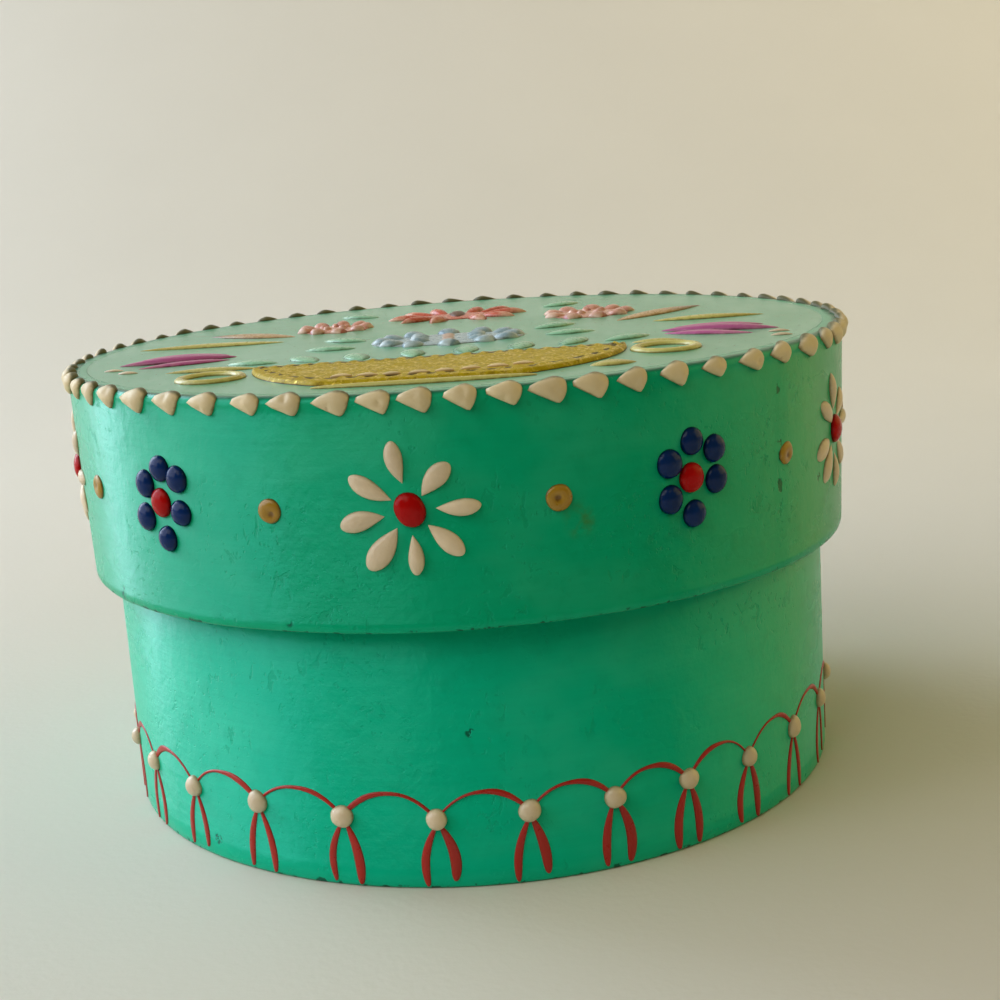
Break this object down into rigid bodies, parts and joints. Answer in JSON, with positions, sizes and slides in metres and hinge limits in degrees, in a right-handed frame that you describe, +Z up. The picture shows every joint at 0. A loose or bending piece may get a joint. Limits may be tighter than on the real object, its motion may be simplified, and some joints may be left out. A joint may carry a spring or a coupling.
{
  "type": "wooden box",
  "caption": "Round bentwood box with a deep lift-off lid, painted green, with raised paint flowers, a beaded foot border and a flower basket on the lid.",
  "frame": {"origin": "centre of the foot, on the surface that the box stands on", "axes": "+Z up through the lid, -Y to the front that the picture shows, +X to its right"},
  "size_m": [0.1022, 0.1022, 0.0574],
  "materials": {
    "body_paint": "brushed teal paint over wood, semi-gloss",
    "lid_paint": "brushed teal paint over wood, semi-gloss",
    "lid_top_paint": "smooth sage green paint over wood, semi-gloss",
    "bare_wood": "planed pale softwood, matt",
    "peg_wood": "split softwood pegs, matt",
    "cream_paint": "raised cream paint, satin",
    "red_paint": "brushed red paint, glossy",
    "red_gloss": "raised red paint, high gloss",
    "blue_gloss": "raised navy paint, high gloss",
    "ochre_paint": "raised ochre paint, glossy",
    "gold_paint": "raised glittering gold paint",
    "yellow_paint": "raised pale yellow paint, glossy",
    "pale_blue_paint": "raised pale blue paint, glossy",
    "pink_paint": "raised pink paint, glossy",
    "coral_paint": "raised coral red paint, glossy",
    "brown_paint": "raised brown paint, glossy",
    "magenta_paint": "raised magenta paint, glossy",
    "tan_paint": "raised tan paint, glossy",
    "mint_paint": "raised mint paint, glossy"
  },
  "bodies": {
    "box": {"body_band": "body_paint", "base_board": "bare_wood", "base_pegs": "peg_wood", "foot_beads": "cream_paint", "foot_arches": "red_paint", "foot_legs": "red_paint"},
    "lid": {"lid_band": "lid_paint", "lid_board": "lid_top_paint", "lid_pegs": "peg_wood", "rim_drops": "cream_paint", "daisy_petals": "cream_paint", "daisy_hearts": "red_gloss", "blue_dots": "blue_gloss", "blue_flower_hearts": "red_gloss", "ochre_dots": "ochre_paint", "basket": "gold_paint", "basket_foot": "yellow_paint", "basket_stitches": "cream_paint", "basket_handles": "yellow_paint", "blue_rose": "pale_blue_paint", "rose_stamens": "pink_paint", "pink_roses": "pink_paint", "red_carnation": "coral_paint", "carnation_cup": "brown_paint", "magenta_tulips": "magenta_paint", "tan_leaves": "tan_paint", "yellow_leaves": "yellow_paint", "mint_leaves": "mint_paint", "pale_specks": "cream_paint"}
  },
  "joints": [
    {"name": "lid_lift", "type": "slide", "parent": "box", "child": "lid", "axis": [0, 0, 1], "range_m": [0, 0.06]}
  ]
}
